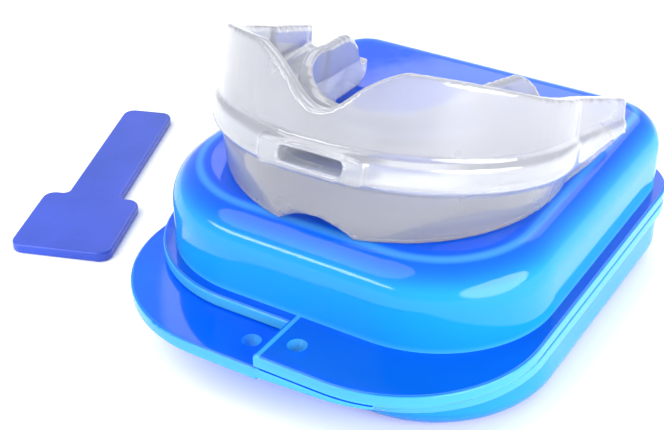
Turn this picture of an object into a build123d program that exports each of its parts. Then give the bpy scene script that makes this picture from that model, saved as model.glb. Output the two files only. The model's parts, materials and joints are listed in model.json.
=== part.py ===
from build123d import *

import os
from math import cos, radians, sin, tan

# Mouthguard with its hinged case and its fitting handle, in millimetres, +Z up.
# Origin: the middle of the case's flat underside. The case's front faces -Y.
# Four separate mouldings: case base, case lid, mouthguard and fitting handle.

# ---- case, overall ----
shell_width = 66.0            # outside of the lid's side walls
shell_depth = 71.6            # outside of the lid's front and back walls
lid_height = 16.0             # lid above the parting plane
base_depth = 12.0             # base below the parting plane
wall = 1.6
front_corner_radius = 20.5    # plan corners of the lid's walls
back_corner_radius = 9.0
crown_radius = 6.5            # round between the lid's walls and its flat top
base_step = 1.1               # base walls stand this far outside the lid's
base_edge_radius = 4.0

# ---- flange all round, and the two thumb tabs in front ----
rim_width = 2.0               # flange beyond the lid's walls
flange_thickness = 2.3
flange_edge_radius = 0.5
tab_reach = 11.6              # tabs beyond the front wall
tab_corner_radius = 23.5
tab_split_gap = 0.3           # between the base's left tab and the lid's right tab
tab_setback = 2.0             # base's flange behind the lid's tab on the right

# ---- lip that turns down at the front of the lid's tab ----
lip_thickness = 1.2
lip_length = 19.0
lip_depth_inner = 1.6         # at the split
lip_depth_outer = 0.5         # at its far end

# ---- locating skirt of the lid, inside the base ----
skirt_depth = 1.5
skirt_clearance = 0.25

# ---- snap and dimples ----
dimple_offset = 4.1           # from the split, to each side
dimple_inset = 5.4            # from the tabs' front edge
dimple_radius = 1.55
dimple_floor_radius = 0.4
dimple_depth = 1.4
snap_radius = 1.2             # cone under the lid's tab, at its root
snap_tip_radius = 0.7
snap_length = 1.5
snap_clearance = 0.2

# ---- hinge ----
hinge_standoff = 3.0          # axis behind the flange's back edge
knuckle_radius = 2.6
peg_radius = 1.3
peg_clearance = 0.05
ear_width = 6.0
lug_width = 6.0
ear_inner_x = 20.0            # base's ears start this far from the middle
knuckle_gap = 0.3             # side play between an ear and a lug
peg_end_gap = 0.4             # the peg stops inside the ear's outer face

# ---- mouthguard ----
band_radius = 29.5            # outside of the proud middle band, round the front
band_centre_y = -3.5
lingual_radius = 13.6         # tongue side, round the front
lingual_centre_y = -5.0
arm_flare = 8.0               # degrees that each arm opens outwards
arm_end_y = 17.5
arm_corner_radius = 1.5
band_height = 4.6
band_proud = 0.7              # band beyond the roots of the outer walls
band_edge_radius = 0.8
band_taper_start = -8.0       # from here back the band's lower edge rises
band_taper_rise = 2.4
plate_thickness = 4.2         # bite plate between the upper and lower channels
outer_wall_root = 3.2
outer_wall_tip = 2.0
upper_lean = 0.6              # outer walls lean in from root to tip
lower_lean = 2.2
lower_front_lean = 1.0        # more lean of the lower wall at the front
lingual_wall_root = 2.8
lingual_wall_tip = 1.8
upper_crest = 12.4            # upper outer wall above the band, beside the notch
upper_notch_floor = 5.2       # and at the middle of the notch
upper_arm_height = 3.0        # and at the arm ends
# top edge of the upper outer wall, front to back: share of the arch's depth, share of the
# fall from the crests to the arm ends that is still to come
upper_skyline = ((0, 1), (0.12, 1), (0.26, 0.86), (0.4, 0.66), (0.7, 0.33), (1.03, 0))
# right half of the notch's edge: share of the crest offset, share of the notch's depth
notch_curve = ((0.12, 0.06), (0.4, 0.5), (0.7, 0.86), (1, 1))
lower_front_height = 9.7      # lower outer wall below the band
lower_notch_rise = 2.6
lower_notch_half_width = 7.0
lower_rise_start = 2.0        # from here back the lower edge leaves the lid
lower_end_rise = 1.4          # lower edge above the lid at the arm ends
crest_offset = 14.5           # crests from the guard's middle
lingual_front_top = 4.8       # upper tongue-side wall above the bite plane
lingual_lobe_top = 8.6
lobe_front_y = -7.0           # tongue-side lobes reach full height here
lobe_front_length = 11.0      # and rise from the front wall over this length
lobe_back_length = 6.0
lobe_end_inset = 4.0          # they stop this far before the arm ends
lobe_sag = 0.7                # fall of a lobe's top towards the back
lingual_lower_drop = 6.0
lower_lobe_back_y = 0.0       # the lower tongue-side wall fades out towards the back
slot_width = 10.6
slot_height = 2.3
slot_corner_radius = 0.4
slot_panel_width = 17.5
slot_panel_flat = 0.3         # panel's flat face behind the band's foremost point
slot_panel_corner = 1.0
guard_shift_x = 0.0           # where the guard stands on the lid
guard_shift_y = -3.6
guard_turn = 2.0              # degrees
bite_tilt = 12.0              # degrees, down towards the arm ends

# ---- fitting handle ----
handle_clearance = 0.2       # all round the shaft in the guard's slot
handle_length = 54.0
handle_head_length = 19.0
handle_shoulder = 4.3         # head beyond each side of the shaft
handle_corner_radius = 2.3
handle_root_radius = 1.2
handle_edge_radius = 0.4
handle_x = -63.0
handle_y = -9.0
handle_turn = 20.0           # degrees; at 0 the shaft points straight back

# ---- allowances for cutting and joining solids ----
overlap = 1.0                 # joined solids run into each other by this much
far = 100.0                   # longer than any piece

# ---- derived ----
lid_front_y = -shell_depth / 2
flange_half_width = shell_width / 2 + rim_width
flange_back_y = shell_depth / 2 + rim_width
tab_front_y = lid_front_y - tab_reach
hinge_y = flange_back_y + hinge_standoff
split_half_gap = tab_split_gap / 2
dimple_y = tab_front_y + dimple_inset
lid_top_z = base_depth + lid_height
handle_thickness = slot_height - 2 * handle_clearance
handle_shaft_width = slot_width - 2 * handle_clearance
handle_head_width = handle_shaft_width + 2 * handle_shoulder


def rounded_plan(half_width, front_y, back_y, front_radius, back_radius):
    """A rectangle in plan with two front and two back corner radii."""
    depth = back_y - front_y
    plan = Pos(0, (front_y + back_y) / 2) * Rectangle(2 * half_width, depth)
    front = [v for v in plan.vertices() if v.Y < (front_y + back_y) / 2]
    plan = fillet(front, front_radius)
    back = [v for v in plan.vertices() if v.Y > back_y - 0.001]
    return fillet(back, back_radius)


def shell_plan(step):
    """The lid's wall outline, moved outwards by step."""
    return rounded_plan(shell_width / 2 + step, lid_front_y - step, shell_depth / 2 + step,
                        front_corner_radius + step, back_corner_radius + step)


def tab_plan(setback):
    """The flange with its front tab, drawn in by setback along the front."""
    return rounded_plan(flange_half_width, tab_front_y + setback, flange_back_y,
                        tab_corner_radius, back_corner_radius + rim_width)


def half_space(side):
    """A large box on one side (+1 or -1) of the split between the tabs."""
    return Pos(side * (far / 2 + split_half_gap), -far / 2, 0) * Box(far, far, far)


def plate(plan, bottom_z, thickness):
    """A flange plate with its outer edges broken."""
    solid = extrude(Pos(0, 0, bottom_z) * plan, thickness)
    rims = solid.faces().sort_by(Axis.Z)
    return fillet(rims[0].edges() + rims[-1].edges(), flange_edge_radius)


def frustum(mouth_radius, tip_radius, length):
    """A cone with its wide end on z = 0 and its tip below."""
    return Pos(0, 0, -length / 2) * Cone(tip_radius, mouth_radius, length)


# ---- case base ----
def make_base():
    tray = extrude(shell_plan(base_step), -base_depth)
    tray = fillet(tray.faces().sort_by(Axis.Z)[0].edges(), base_edge_radius)
    flange = plate(tab_plan(0), -flange_thickness, flange_thickness)
    flange_right = plate(tab_plan(tab_setback), -flange_thickness, flange_thickness)
    flange = flange.cut(right_half) + flange_right.cut(left_half)
    cavity = extrude(shell_plan(base_step - wall), -(base_depth - wall))
    cavity = fillet(cavity.faces().sort_by(Axis.Z)[0].edges(), base_edge_radius - wall)
    base = tray + flange - cavity
    dimple = frustum(dimple_radius, dimple_floor_radius, dimple_depth)
    base -= Pos(-dimple_offset, dimple_y, 0) * dimple
    snap_hole = frustum(snap_radius + snap_clearance, snap_tip_radius + snap_clearance, flange_thickness)
    base -= Pos(dimple_offset, dimple_y, 0) * snap_hole
    for side in (-1, 1):
        base += side_ear(side)
    return Pos(0, 0, base_depth) * base


def knuckle(centre_x, width, web_bottom):
    """A round hinge knuckle with a web to the flange's back edge."""
    barrel = Pos(centre_x, hinge_y, 0) * Rot(0, 90, 0) * Cylinder(knuckle_radius, width)
    web_length = hinge_standoff + flange_edge_radius + overlap
    web = Pos(centre_x, hinge_y - web_length / 2, web_bottom + flange_thickness / 2)
    return barrel + web * Box(width, web_length, flange_thickness)


def side_ear(side):
    centre_x = side * (ear_inner_x + ear_width / 2)
    bore = Cylinder(peg_radius + peg_clearance, ear_width + overlap)
    ear = knuckle(centre_x, ear_width, -flange_thickness)
    return ear - Pos(centre_x, hinge_y, 0) * Rot(0, 90, 0) * bore


# ---- case lid ----
def make_lid():
    dome = extrude(shell_plan(0), lid_height)
    dome = fillet(dome.faces().sort_by(Axis.Z)[-1].edges(), crown_radius)
    flange = plate(shell_plan(rim_width), 0, flange_thickness)
    tab = plate(tab_plan(0), 0, flange_thickness).cut(left_half)
    lid = dome + flange + tab + front_lip()
    skirt = extrude(shell_plan(base_step - wall - skirt_clearance), -skirt_depth)
    lid += skirt
    cavity = extrude(shell_plan(-wall), lid_height - wall)
    cavity = fillet(cavity.faces().sort_by(Axis.Z)[-1].edges(), crown_radius - wall)
    lid -= cavity
    lid -= extrude(shell_plan(-wall), -skirt_depth)
    snap_place = Pos(dimple_offset, dimple_y, 0)
    lid += snap_place * frustum(snap_radius, snap_tip_radius, snap_length)
    dimple = frustum(dimple_radius, dimple_floor_radius, dimple_depth)
    lid -= snap_place * Pos(0, 0, flange_thickness) * dimple
    for side in (-1, 1):
        lid += side_lug(side)
    return Pos(0, 0, base_depth) * lid


def front_lip():
    """The lip under the lid's tab, deepest at the split."""
    ring = extrude(tab_plan(0), -lip_depth_inner) - extrude(tab_plan(lip_thickness), -lip_depth_inner)
    far_x = split_half_gap + lip_length
    outline = [(split_half_gap, 0), (far_x, 0), (far_x, -lip_depth_outer),
               (split_half_gap, -lip_depth_inner)]
    wedge = extrude(Plane.XZ * make_face(Polyline(*outline, close=True)), -2 * tab_front_y)
    return ring & wedge


def side_lug(side):
    """A lid lug beside the base's ear, with the peg that turns in the ear's bore."""
    outer_x = ear_inner_x - knuckle_gap
    lug = knuckle(side * (outer_x - lug_width / 2), lug_width, 0)
    peg_length = overlap + knuckle_gap + ear_width - peg_end_gap
    peg = Pos(side * (outer_x - overlap + peg_length / 2), hinge_y, 0) * Rot(0, 90, 0)
    return lug + peg * Cylinder(peg_radius, peg_length)


# ---- mouthguard ----
def arch_points(radius, centre_y):
    """Left arm end, arc start, front, arc end and right arm end of one arch curve."""
    flare = radians(arm_flare)
    arc_x, arc_y = radius * cos(flare), centre_y + radius * sin(flare)
    end_x = arc_x + (arm_end_y - arc_y) * tan(flare)
    return [(-end_x, arm_end_y), (-arc_x, arc_y), (0, centre_y - radius),
            (arc_x, arc_y), (end_x, arm_end_y)]


def horseshoe(outer, inner):
    """The face between two arch curves, each a radius and its centre's y."""
    o, i = arch_points(*outer), arch_points(*inner)
    edges = [Line(o[0], o[1]), ThreePointArc(o[1], o[2], o[3]), Line(o[3], o[4]), Line(o[4], i[4]),
             Line(i[4], i[3]), ThreePointArc(i[3], i[2], i[1]), Line(i[1], i[0]), Line(i[0], o[0])]
    return make_face(edges)


def outer_strip(inset, thickness):
    """A strip along the outside of the arch, inset from the band's face."""
    return horseshoe((band_radius - inset, band_centre_y), (band_radius - inset - thickness, band_centre_y))


def lingual_strip(thickness):
    """A strip along the tongue side of the arch."""
    return horseshoe((lingual_radius + thickness, lingual_centre_y), (lingual_radius, lingual_centre_y))


def leaning_wall(root, tip, height):
    return loft([root, Pos(0, 0, height) * tip], ruled=True)


def side_profile(points):
    """A slab across the whole arch, with its outline drawn in Y and Z."""
    outline = Plane.YZ * make_face([Spline(*points[1]), Polyline(points[1][-1], *points[0], points[1][0])])
    return extrude(outline, far, both=True)


def outer_upper_wall():
    crest_z = band_height / 2 + upper_crest
    wall_solid = leaning_wall(outer_strip(band_proud, outer_wall_root),
                              outer_strip(band_proud + upper_lean, outer_wall_tip), crest_z)
    arm_z = band_height / 2 + upper_arm_height
    front_y = band_centre_y - band_radius - overlap
    arch_length = arm_end_y - front_y
    skyline = [(front_y + along * arch_length, arm_z + rise * (crest_z - arm_z))
               for along, rise in upper_skyline]
    keep = side_profile(([(skyline[-1][0], -overlap), (front_y, -overlap)], skyline))
    notch_z = band_height / 2 + upper_notch_floor
    notch_top = crest_z + overlap / 2
    right = [(share * crest_offset, notch_z + rise * (notch_top - notch_z)) for share, rise in notch_curve]
    left = [(-x, z) for x, z in reversed(right)]
    return (wall_solid & keep) - front_notch(left + [(0, notch_z)] + right)


def front_notch(edge):
    """A cut through the front of the arch, under or over a curve drawn in X and Z."""
    face = Plane.XZ * make_face([Spline(*edge), Line(edge[-1], edge[0])])
    return Pos(0, band_centre_y, 0) * extrude(face, far)


def lowest_z():
    return -band_height / 2 - lower_front_height


def resting_front_y():
    """The lower wall's foremost point on the lid, before the guard is tilted."""
    return band_centre_y + lower_front_lean - (band_radius - band_proud - lower_lean)


def above_lid():
    """Everything over the lid's top, which the lower edges follow until they rise at the arm ends."""
    slope = tan(radians(bite_tilt))
    front_y = resting_front_y()
    level_y = (front_y - far, lower_rise_start, arm_end_y)
    first, start, end = [(y, lowest_z() + (y - front_y) * slope) for y in level_y]
    lifted = (end[0], end[1] + lower_end_rise)
    end_slope = slope + 2 * lower_end_rise / (end[0] - start[0])
    rise = Spline(start, lifted, tangents=[(1, slope), (1, end_slope)])
    outline = make_face([Line(first, start), rise, Polyline(lifted, (end[0], far), (first[0], far), first)])
    return extrude(Plane.YZ * outline, far, both=True)


def outer_lower_wall():
    tip_radius = band_radius - band_proud - lower_lean
    tip_centre_y = band_centre_y + lower_front_lean
    tip = horseshoe((tip_radius, tip_centre_y), (tip_radius - outer_wall_tip, tip_centre_y))
    wall_solid = leaning_wall(outer_strip(band_proud, outer_wall_root), tip, lowest_z())
    foot_z = lowest_z() - overlap / 2
    return wall_solid - front_notch([(-lower_notch_half_width, foot_z), (0, lowest_z() + lower_notch_rise),
                                     (lower_notch_half_width, foot_z)])


def lingual_upper_wall():
    root, tip = lingual_strip(lingual_wall_root), lingual_strip(lingual_wall_tip)
    front_y = lingual_centre_y - lingual_radius - lingual_wall_root - overlap
    end_y = arm_end_y - lobe_end_inset
    rise_y = lobe_front_y - lobe_front_length
    halfway = ((rise_y + lobe_front_y) / 2, (lingual_front_top + lingual_lobe_top) / 2 + lobe_sag / 2)
    skyline = [(front_y, lingual_front_top), (rise_y, lingual_front_top), halfway,
               (lobe_front_y, lingual_lobe_top), (end_y - lobe_back_length, lingual_lobe_top - lobe_sag),
               (end_y, plate_thickness / 2)]
    keep = side_profile(([(end_y, -overlap), (front_y, -overlap)], skyline))
    return leaning_wall(root, tip, lingual_lobe_top) & keep


def lingual_lower_wall():
    root, tip = lingual_strip(lingual_wall_root), lingual_strip(lingual_wall_tip)
    front_y = lingual_centre_y - lingual_radius - lingual_wall_root - overlap
    end_y = arm_end_y + overlap
    deep_y = (front_y + lower_lobe_back_y) / 2
    skyline = [(front_y, -lingual_lower_drop), (deep_y, -lingual_lower_drop),
               (lower_lobe_back_y, -(plate_thickness + lingual_wall_tip) / 2),
               (end_y, -plate_thickness / 2)]
    keep = side_profile(([(end_y, overlap), (front_y, overlap)], skyline))
    return leaning_wall(root, tip, -lingual_lower_drop) & keep


def make_guard():
    band = extrude(outer_strip(0, outer_wall_root + band_proud), band_height / 2, both=True)
    outside = [e for f in (band.faces().sort_by(Axis.Z)[0], band.faces().sort_by(Axis.Z)[-1])
               for e in f.edges().filter_by(lambda edge: is_outermost(edge))]
    band = fillet(outside, band_edge_radius) & band_outline()
    plate_radius = band_radius - band_proud - overlap
    plate_face = horseshoe((plate_radius, band_centre_y), (lingual_radius, lingual_centre_y))
    guard = band + extrude(plate_face, plate_thickness / 2, both=True)
    guard = guard + outer_upper_wall() + outer_lower_wall() + lingual_upper_wall() + lingual_lower_wall()
    guard &= above_lid()
    front_y = band_centre_y - band_radius
    panel_y = front_y + slot_panel_flat
    panel = Pos(0, panel_y + outer_wall_root / 2, 0) * Box(slot_panel_width, outer_wall_root, band_height)
    guard = guard + fillet(panel.edges().filter_by(Axis.Y), slot_panel_corner)
    guard -= Pos(0, panel_y - overlap, 0) * Box(slot_panel_width, 2 * overlap, 2 * band_height)
    slot_length = band_radius + lingual_centre_y - band_centre_y
    slot = Box(slot_width, slot_length, slot_height)
    slot = fillet(slot.edges().filter_by(Axis.Y), slot_corner_radius)
    guard -= Pos(0, front_y - overlap + slot_length / 2, 0) * slot
    envelope = horseshoe((band_radius + overlap, band_centre_y),
                         (lingual_radius - overlap, lingual_centre_y))
    ends = [v for v in envelope.vertices() if v.Y > arm_end_y - 0.01]
    guard &= extrude(fillet(ends, arm_corner_radius + overlap), far, both=True)
    return stand_guard(guard)


def band_outline():
    """The band's side view: its lower edge rises towards the arm ends."""
    half = band_height / 2 + overlap
    front_y, back_y = band_centre_y - band_radius - overlap, arm_end_y + overlap
    start, end = (band_taper_start, -half), (back_y, -band_height / 2 + band_taper_rise)
    rise = Spline(start, end, tangents=[(1, 0), (1, 0)])
    outline = make_face([rise, Polyline(end, (back_y, half), (front_y, half), (front_y, -half), start)])
    return extrude(Plane.YZ * outline, far, both=True)


def is_outermost(edge):
    middle = edge @ 0.5
    reach = (middle.X ** 2 + min(middle.Y - band_centre_y, 0) ** 2) ** 0.5
    return reach > band_radius - overlap


def stand_guard(guard):
    """Tilt the guard until its front and its arm ends stand on the lid's top."""
    front_y = resting_front_y()
    pivoted = Pos(0, -front_y, -lowest_z()) * guard
    tilted = Pos(0, front_y, 0) * Rot(-bite_tilt, 0, 0) * pivoted
    return Pos(guard_shift_x, guard_shift_y, lid_top_z) * Rot(0, 0, guard_turn) * tilted


# ---- fitting handle ----
def make_handle():
    shaft_length = handle_length - handle_head_length
    shaft = Pos(0, shaft_length / 2) * Rectangle(handle_shaft_width, shaft_length)
    head = Pos(0, -handle_head_length / 2) * Rectangle(handle_head_width, handle_head_length)
    plan = shaft + head
    roots = [v for v in plan.vertices() if abs(v.Y) < 0.01 and abs(v.X) < handle_shaft_width / 2 + 0.01]
    plan = fillet(roots, handle_root_radius)
    corners = [v for v in plan.vertices()
               if v.Y > shaft_length - 0.01 or abs(v.X) > handle_head_width / 2 - 0.01]
    plan = fillet(corners, handle_corner_radius)
    solid = extrude(plan, handle_thickness)
    faces = solid.faces().sort_by(Axis.Z)
    solid = fillet(faces[0].edges() + faces[-1].edges(), handle_edge_radius)
    return Pos(handle_x, handle_y, 0) * Rot(0, 0, handle_turn) * solid


left_half, right_half = half_space(-1), half_space(1)
pieces = {
    "case_base": make_base(),
    "case_lid": make_lid(),
    "mouthguard": make_guard(),
    "fitting_handle": make_handle(),
}
os.makedirs("parts", exist_ok=True)
for name, shape in pieces.items():
    export_step(shape, f"parts/{name}.step")
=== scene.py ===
import json
from math import cos, radians, sin

import bpy
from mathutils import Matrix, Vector


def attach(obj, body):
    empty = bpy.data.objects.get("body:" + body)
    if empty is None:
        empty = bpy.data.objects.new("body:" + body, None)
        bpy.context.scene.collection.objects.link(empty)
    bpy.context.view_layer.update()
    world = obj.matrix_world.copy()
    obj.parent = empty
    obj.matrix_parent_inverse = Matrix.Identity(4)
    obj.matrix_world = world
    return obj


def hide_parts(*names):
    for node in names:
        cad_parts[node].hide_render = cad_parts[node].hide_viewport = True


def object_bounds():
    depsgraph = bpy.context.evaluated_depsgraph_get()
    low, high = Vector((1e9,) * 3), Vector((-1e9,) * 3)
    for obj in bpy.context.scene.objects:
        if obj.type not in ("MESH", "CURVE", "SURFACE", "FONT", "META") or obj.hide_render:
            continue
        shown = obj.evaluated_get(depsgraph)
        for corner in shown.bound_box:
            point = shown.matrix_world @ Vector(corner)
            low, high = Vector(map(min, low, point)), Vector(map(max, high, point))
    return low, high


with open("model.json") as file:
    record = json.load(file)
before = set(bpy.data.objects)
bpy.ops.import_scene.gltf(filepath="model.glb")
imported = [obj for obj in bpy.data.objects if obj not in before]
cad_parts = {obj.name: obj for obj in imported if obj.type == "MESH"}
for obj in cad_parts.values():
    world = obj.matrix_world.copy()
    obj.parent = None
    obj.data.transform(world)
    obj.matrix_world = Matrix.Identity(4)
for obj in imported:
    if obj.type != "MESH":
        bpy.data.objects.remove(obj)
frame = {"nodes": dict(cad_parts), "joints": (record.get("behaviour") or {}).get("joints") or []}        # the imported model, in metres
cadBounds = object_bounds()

mm = 0.001


def selectOnly(piece):
    bpy.ops.object.select_all(action="DESELECT")
    piece.select_set(True)
    bpy.context.view_layer.objects.active = piece


def applyModifier(piece, kind, **settings):
    selectOnly(piece)
    modifier = piece.modifiers.new(kind.title(), kind)
    for name, value in settings.items():
        setattr(modifier, name, value)
    bpy.ops.object.modifier_apply(modifier=modifier.name)


# ---------- shared shader effects ----------
def newGroup(name, inputs, outputs):
    group = bpy.data.node_groups.new(name, "ShaderNodeTree")
    for label, kind, value in inputs:
        socket = group.interface.new_socket(label, in_out="INPUT", socket_type=kind)
        if value is not None:
            socket.default_value = value
    for label, kind in outputs:
        group.interface.new_socket(label, in_out="OUTPUT", socket_type=kind)
    return group, group.nodes.new("NodeGroupInput"), group.nodes.new("NodeGroupOutput")


def addMath(tree, operation, first, second=None, clamp=False):
    node = tree.nodes.new("ShaderNodeMath")
    node.operation = operation
    node.use_clamp = clamp
    for socket, value in zip(node.inputs, (first, second)):
        if value is None:
            continue
        if isinstance(value, (int, float)):
            socket.default_value = value
        else:
            tree.links.new(value, socket)
    return node.outputs[0]


def addRange(tree, value, low, high):
    node = tree.nodes.new("ShaderNodeMapRange")
    node.interpolation_type = "SMOOTHSTEP"
    tree.links.new(value, node.inputs["Value"])
    node.inputs["From Min"].default_value = low
    node.inputs["From Max"].default_value = high
    return node.outputs["Result"]


def addNoise(tree, scale, detail=3.0, roughness=0.5):
    coords = tree.nodes.new("ShaderNodeTexCoord")
    node = tree.nodes.new("ShaderNodeTexNoise")
    node.inputs["Scale"].default_value = scale
    node.inputs["Detail"].default_value = detail
    node.inputs["Roughness"].default_value = roughness
    tree.links.new(coords.outputs["Object"], node.inputs["Vector"])
    return node.outputs["Fac"]


def objectAxes(tree):
    # a point's place in metres, as separate X, Y and Z
    coords = tree.nodes.new("ShaderNodeTexCoord")
    split = tree.nodes.new("ShaderNodeSeparateXYZ")
    tree.links.new(coords.outputs["Object"], split.inputs[0])
    return split.outputs


def mixColors(tree, factor, first, second):
    node = tree.nodes.new("ShaderNodeMix")
    node.data_type = "RGBA"
    for socket, value in zip((node.inputs[0], node.inputs[6], node.inputs[7]), (factor, first, second)):
        if isinstance(value, (int, float, tuple)):
            socket.default_value = value
        else:
            tree.links.new(value, socket)
    return node.outputs[2]


uprightRange = {              # by the size of the surface normal's Z: 0 upright, 1 level
    "wall": (0.30, 0.93),
    "lineStart": (0.90, 0.955),
    "lineEnd": (0.965, 0.995),
}


def buildUprightMask(limits):
    # 1 on walls that stand upright, 0 on flat faces, with a soft change between them
    group, _, out = newGroup("uprightMask", [], [("Mask", "NodeSocketFloat"), ("Line", "NodeSocketFloat")])
    geometry = group.nodes.new("ShaderNodeNewGeometry")
    split = group.nodes.new("ShaderNodeSeparateXYZ")
    group.links.new(geometry.outputs["Normal"], split.inputs[0])
    flat = addMath(group, "ABSOLUTE", split.outputs["Z"])
    mask = addMath(group, "SUBTRACT", 1.0, addRange(group, flat, *limits["wall"]))
    group.links.new(mask, out.inputs["Mask"])
    # a narrow line where a crown round runs out into a flat face, for a painted highlight
    rise = addRange(group, flat, *limits["lineStart"])
    fall = addMath(group, "SUBTRACT", 1.0, addRange(group, flat, *limits["lineEnd"]))
    group.links.new(addMath(group, "MULTIPLY", rise, fall), out.inputs["Line"])
    return group


def buildMouldFinish():
    # faint flow marks and handling scuffs of moulded plastic: a tone, a roughness and a height
    inputs = [("Tone Scale", "NodeSocketFloat", 40.0), ("Scuff Scale", "NodeSocketFloat", 900.0),
              ("Roughness Low", "NodeSocketFloat", 0.05), ("Roughness High", "NodeSocketFloat", 0.15)]
    outputs = [("Tone", "NodeSocketFloat"), ("Roughness", "NodeSocketFloat"), ("Height", "NodeSocketFloat")]
    group, into, out = newGroup("mouldFinish", inputs, outputs)
    coords = group.nodes.new("ShaderNodeTexCoord")
    noises = []
    for scaleName in ("Tone Scale", "Scuff Scale"):
        noise = group.nodes.new("ShaderNodeTexNoise")
        noise.inputs["Detail"].default_value = 4.0
        group.links.new(coords.outputs["Object"], noise.inputs["Vector"])
        group.links.new(into.outputs[scaleName], noise.inputs["Scale"])
        noises.append(noise.outputs["Fac"])
    tone = addRange(group, noises[0], 0.3, 0.7)
    group.links.new(tone, out.inputs["Tone"])
    span = addMath(group, "SUBTRACT", into.outputs["Roughness High"], into.outputs["Roughness Low"])
    patch = addMath(group, "MULTIPLY", addRange(group, noises[1], 0.4, 0.75), span)
    group.links.new(addMath(group, "ADD", patch, into.outputs["Roughness Low"]), out.inputs["Roughness"])
    group.links.new(noises[1], out.inputs["Height"])
    return group


uprightMask = buildUprightMask(uprightRange)
mouldFinish = buildMouldFinish()


def placeGroup(tree, group, **values):
    node = tree.nodes.new("ShaderNodeGroup")
    node.node_tree = group
    for name, value in values.items():
        node.inputs[name].default_value = value
    return node


def newMaterial(name, settings):
    material = bpy.data.materials.new(name)
    material.use_nodes = True
    shader = material.node_tree.nodes["Principled BSDF"]
    for label, value in settings.items():
        shader.inputs[label].default_value = value
    return material, material.node_tree, shader


def addBump(tree, height, strength, distance, shader):
    bump = tree.nodes.new("ShaderNodeBump")
    bump.inputs["Strength"].default_value = strength
    bump.inputs["Distance"].default_value = distance
    tree.links.new(height, bump.inputs["Height"])
    tree.links.new(bump.outputs["Normal"], shader.inputs["Normal"])


# ---------- case ----------
partingZ = frame["joints"][0]["pos_m"][2]   # the lid's hinge axis lies on the parting plane
casePlastic = {
    "deepBlue": (0.0, 0.13, 0.98, 1.0),        # flat faces
    "azureWallLight": (0.014, 0.41, 1.0, 1.0),          # painted light on upright walls, standing in for light that comes through them edge-on
    "crownHighlight": (0.14, 0.68, 1.0, 1.0),            # painted highlight, a bright line round the crown
    "paintedEdgeGlow": (0.08, 0.58, 1.0, 1.0),        # painted glow on the flanges' and tabs' thin edges
    "toneShift": 0.14,
    "crownHighlightShare": 0.45,
    "flangeReach": 3.4 * mm,                   # from the parting plane, up and down
    "splitX": 0.45 * mm,                       # the lid's tab ends here, in front of the dome
    "splitLine": 0.5 * mm,                     # half the width of the painted highlight along its cut edge
    "domeFront": -35.8 * mm,
    "finish": {"Tone Scale": 30.0, "Scuff Scale": 700.0, "Roughness Low": 0.04, "Roughness High": 0.11},
    "bumpStrength": 0.05,
    "bumpDepth": 0.02 * mm,
    "shader": {"Transmission Weight": 0.5, "IOR": 1.34, "Coat Weight": 0.10, "Coat Roughness": 0.05,
               "Specular IOR Level": 0.28},
}


def flangeZone(tree, reach):
    # 1 beside the parting plane, 0 above and below the flanges
    away = addMath(tree, "ABSOLUTE", addMath(tree, "SUBTRACT", objectAxes(tree)["Z"], partingZ))
    return addMath(tree, "SUBTRACT", 1.0, addRange(tree, away, 0.6 * reach, reach))


def splitGlowMask(tree, settings):
    # 1 along the cut edge between the two tabs, where a highlight is painted, 0 elsewhere
    axes = objectAxes(tree)
    aside = addMath(tree, "ABSOLUTE", addMath(tree, "SUBTRACT", axes["X"], settings["splitX"]))
    half = settings["splitLine"]
    onLine = addMath(tree, "SUBTRACT", 1.0, addRange(tree, aside, 0.4 * half, half))
    inFront = addMath(tree, "LESS_THAN", axes["Y"], settings["domeFront"])
    besideFlange = flangeZone(tree, settings["flangeReach"])
    return addMath(tree, "MULTIPLY", addMath(tree, "MULTIPLY", onLine, inFront), besideFlange)


def makeCasePlastic(settings):
    material, tree, shader = newMaterial("casePlastic", settings["shader"])
    upright = placeGroup(tree, uprightMask)
    finish = placeGroup(tree, mouldFinish, **settings["finish"])
    tone = addMath(tree, "MULTIPLY", finish.outputs["Tone"], settings["toneShift"])
    # painted light: upright walls take the lighter azure, mixed with a random moulding tone
    wallLightAndTone = addMath(tree, "ADD", upright.outputs["Mask"], tone, clamp=True)
    body = mixColors(tree, wallLightAndTone, settings["deepBlue"], settings["azureWallLight"])
    # painted highlight along the narrow line round the crown
    crownHighlightMask = addMath(tree, "MULTIPLY", upright.outputs["Line"], settings["crownHighlightShare"])
    crownHighlighted = mixColors(tree, crownHighlightMask, body, settings["crownHighlight"])
    # painted glow: upright faces beside the parting plane and the cut edge between the tabs are lit up
    rimGlowMask = addMath(tree, "MULTIPLY", upright.outputs["Mask"], flangeZone(tree, settings["flangeReach"]))
    paintedGlowMask = addMath(tree, "MAXIMUM", rimGlowMask, splitGlowMask(tree, settings))
    tree.links.new(mixColors(tree, paintedGlowMask, crownHighlighted, settings["paintedEdgeGlow"]), shader.inputs["Base Color"])
    tree.links.new(finish.outputs["Roughness"], shader.inputs["Roughness"])
    addBump(tree, finish.outputs["Height"], settings["bumpStrength"], settings["bumpDepth"], shader)
    return material


# ---------- fitting handle ----------
handlePlastic = {
    "royal": (0.016, 0.055, 0.42, 1.0),
    "violet": (0.026, 0.07, 0.52, 1.0),
    "finish": {"Tone Scale": 60.0, "Scuff Scale": 1500.0, "Roughness Low": 0.28, "Roughness High": 0.42},
    "bumpStrength": 0.12,
    "bumpDepth": 0.05 * mm,
    "shader": {"Coat Weight": 0.15, "Coat Roughness": 0.25, "IOR": 1.45},
}


def makeHandlePlastic(settings):
    material, tree, shader = newMaterial("handlePlastic", settings["shader"])
    finish = placeGroup(tree, mouldFinish, **settings["finish"])
    tree.links.new(mixColors(tree, finish.outputs["Tone"], settings["royal"], settings["violet"]),
                   shader.inputs["Base Color"])
    tree.links.new(finish.outputs["Roughness"], shader.inputs["Roughness"])
    addBump(tree, finish.outputs["Height"], settings["bumpStrength"], settings["bumpDepth"], shader)
    return material


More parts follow.
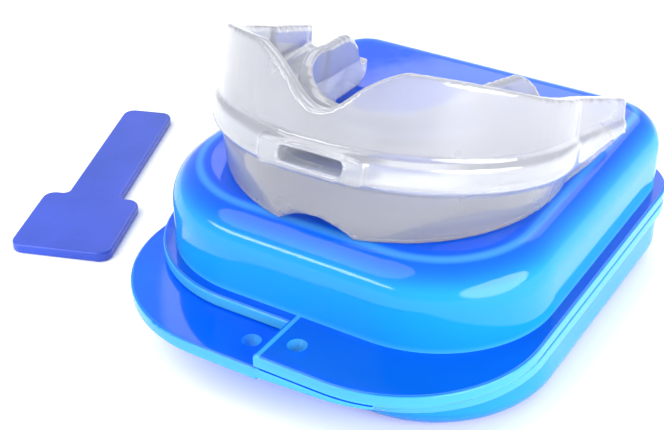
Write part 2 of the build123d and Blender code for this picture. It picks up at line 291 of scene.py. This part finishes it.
# ---------- mouthguard ----------
guardShape = {
    "voxel": 0.40 * mm,
    "smoothSteps": 6,
    "smoothFactor": 0.5,
}
guardPlastic = {
    "milky": (0.55, 0.56, 0.60, 1.0),
    "clear": (0.62, 0.63, 0.67, 1.0),
    "shade": (0.46, 0.46, 0.46, 1.0),          # painted shade on the walls below the band
    "bandLight": (0.72, 0.74, 0.78, 1.0),         # painted light on the band, the thickest part
    "tilt": radians(12.0),                     # the bite plane falls towards the arm ends
    "planeLevel": 32.6 * mm,                   # its distance from the origin
    "bandHalf": 2.3 * mm,
    "bandBlend": 1.0 * mm,
    "finish": {"Tone Scale": 45.0, "Scuff Scale": 120.0, "Roughness Low": 0.22, "Roughness High": 0.28},
    "shader": {"Transmission Weight": 0.7, "IOR": 1.38, "Coat Weight": 0.7, "Coat Roughness": 0.06,
               "Specular IOR Level": 0.5},
}


def bitePlaneHeight(tree, settings):
    # height above the guard's own tilted middle plane
    coords = tree.nodes.new("ShaderNodeTexCoord")
    dot = tree.nodes.new("ShaderNodeVectorMath")
    dot.operation = "DOT_PRODUCT"
    tree.links.new(coords.outputs["Object"], dot.inputs[0])
    dot.inputs[1].default_value = (0.0, sin(settings["tilt"]), cos(settings["tilt"]))
    return addMath(tree, "SUBTRACT", dot.outputs["Value"], settings["planeLevel"])


def makeGuardPlastic(settings):
    material, tree, shader = newMaterial("guardPlastic", settings["shader"])
    finish = placeGroup(tree, mouldFinish, **settings["finish"])
    body = mixColors(tree, finish.outputs["Tone"], settings["milky"], settings["clear"])
    height = bitePlaneHeight(tree, settings)
    half, wallLightAndTone = settings["bandHalf"], settings["bandBlend"]
    # painted shade: the walls below the band are darker
    paintedShadeMask = addMath(tree, "SUBTRACT", 1.0, addRange(tree, height, -half - wallLightAndTone, -half))
    away = addMath(tree, "ABSOLUTE", height)
    # painted light: the band is lighter than the walls above and below it
    bandLightMask = addMath(tree, "SUBTRACT", 1.0, addRange(tree, away, half - wallLightAndTone, half))
    bandLit = mixColors(tree, bandLightMask, body, settings["bandLight"])
    tree.links.new(mixColors(tree, paintedShadeMask, bandLit, settings["shade"]), shader.inputs["Base Color"])
    tree.links.new(finish.outputs["Roughness"], shader.inputs["Roughness"])
    return material


def makeGuard(settings):
    source = frame["nodes"]["mouthguard"]
    guard = source.copy()
    guard.data = source.data.copy()
    guard.name = "softGuard"
    bpy.context.collection.objects.link(guard)
    selectOnly(guard)
    bpy.ops.object.mode_set(mode="EDIT")
    bpy.ops.mesh.select_all(action="SELECT")
    bpy.ops.mesh.remove_doubles(threshold=0.001 * mm)
    bpy.ops.object.mode_set(mode="OBJECT")
    applyModifier(guard, "REMESH", mode="VOXEL", voxel_size=settings["voxel"])
    applyModifier(guard, "SMOOTH", iterations=settings["smoothSteps"], factor=settings["smoothFactor"])
    selectOnly(guard)
    bpy.ops.object.shade_smooth()
    return guard


guard = makeGuard(guardShape)
guard.data.materials.clear()
guard.data.materials.append(makeGuardPlastic(guardPlastic))
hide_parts("mouthguard")
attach(guard, "guard")
print("guard softened:", len(guard.data.polygons), "faces")

casePaint = makeCasePlastic(casePlastic)
handlePaint = makeHandlePlastic(handlePlastic)
for nodeName, paint in (("case_base", casePaint), ("case_lid", casePaint), ("fitting_handle", handlePaint)):
    node = frame["nodes"][nodeName]
    for slot in node.material_slots:
        slot.material = paint
print("finishes on the case and the handle")


# ---------- floor, light and camera ----------
studio = {
    "floorSize": 6.0,
    "floorColor": (0.93, 0.93, 0.93, 1.0),
    "floorGrain": (0.95, 0.95, 0.95, 1.0),
    "worldColor": (0.95, 0.97, 1.0, 1.0),
    "worldStrength": 0.9,
    "lightAim": (0, 0, 0.02),
    "lights": {                                # place, size and power
        "keyLight": ((-0.25, -0.35, 0.6), (0.6, 0.6), 3.0),
        "sideLight": ((0.6, -0.12, 0.18), (0.7, 0.4), 6.0),
        "stripLight": ((-0.22, -0.42, 0.16), (0.45, 0.05), 0.9),
        "backLight": ((-0.1, 0.6, 0.5), (0.8, 0.4), 1.6),
    },
}


def makeFloor(settings):
    bpy.ops.object.select_all(action="DESELECT")
    bpy.ops.mesh.primitive_plane_add(size=settings["floorSize"], location=(0, 0, cadBounds[0][2] - 0.01 * mm))
    floor = bpy.context.object
    floor.name = "floor"
    material, tree, shader = newMaterial("floorPaper", {"Roughness": 0.85, "Specular IOR Level": 0.2})
    grain = addNoise(tree, 300.0)
    tree.links.new(mixColors(tree, grain, settings["floorColor"], settings["floorGrain"]),
                   shader.inputs["Base Color"])
    floor.data.materials.append(material)


def addArea(name, place, aim, size, power):
    light = bpy.data.objects.new(name, bpy.data.lights.new(name, "AREA"))
    light.data.shape = "ELLIPSE"
    light.data.size, light.data.size_y = size
    light.data.energy = power
    light.location = place
    light.rotation_euler = (Vector(aim) - Vector(place)).to_track_quat("-Z", "Y").to_euler()
    bpy.context.collection.objects.link(light)


def lightStudio(settings):
    world = bpy.data.worlds.new("studio")
    world.use_nodes = True
    back = world.node_tree.nodes["Background"]
    back.inputs["Color"].default_value = settings["worldColor"]
    back.inputs["Strength"].default_value = settings["worldStrength"]
    bpy.context.scene.world = world
    for name, (place, size, power) in settings["lights"].items():
        addArea(name, place, settings["lightAim"], size, power)
    bpy.context.scene.view_settings.view_transform = "Standard"


makeFloor(studio)
lightStudio(studio)

viewer = {
    "azimuth": 31.3,
    "elevation": 32.0,
    "distance": 239.5 * mm,
    "target": (-12.21 * mm, -5.37 * mm, 12.0 * mm),
    "lens": 75.5,
}


def makeCamera(settings):
    azimuth, elevation = radians(settings["azimuth"]), radians(settings["elevation"])
    back = Vector((sin(azimuth) * cos(elevation), -cos(azimuth) * cos(elevation), sin(elevation)))
    camera = bpy.data.objects.new("camera", bpy.data.cameras.new("camera"))
    camera.data.lens = settings["lens"]
    camera.data.clip_start = 0.01
    camera.location = Vector(settings["target"]) + back * settings["distance"]
    camera.rotation_euler = (-back).to_track_quat("-Z", "Y").to_euler()
    bpy.context.collection.objects.link(camera)
    bpy.context.scene.camera = camera


makeCamera(viewer)
print("studio ready")
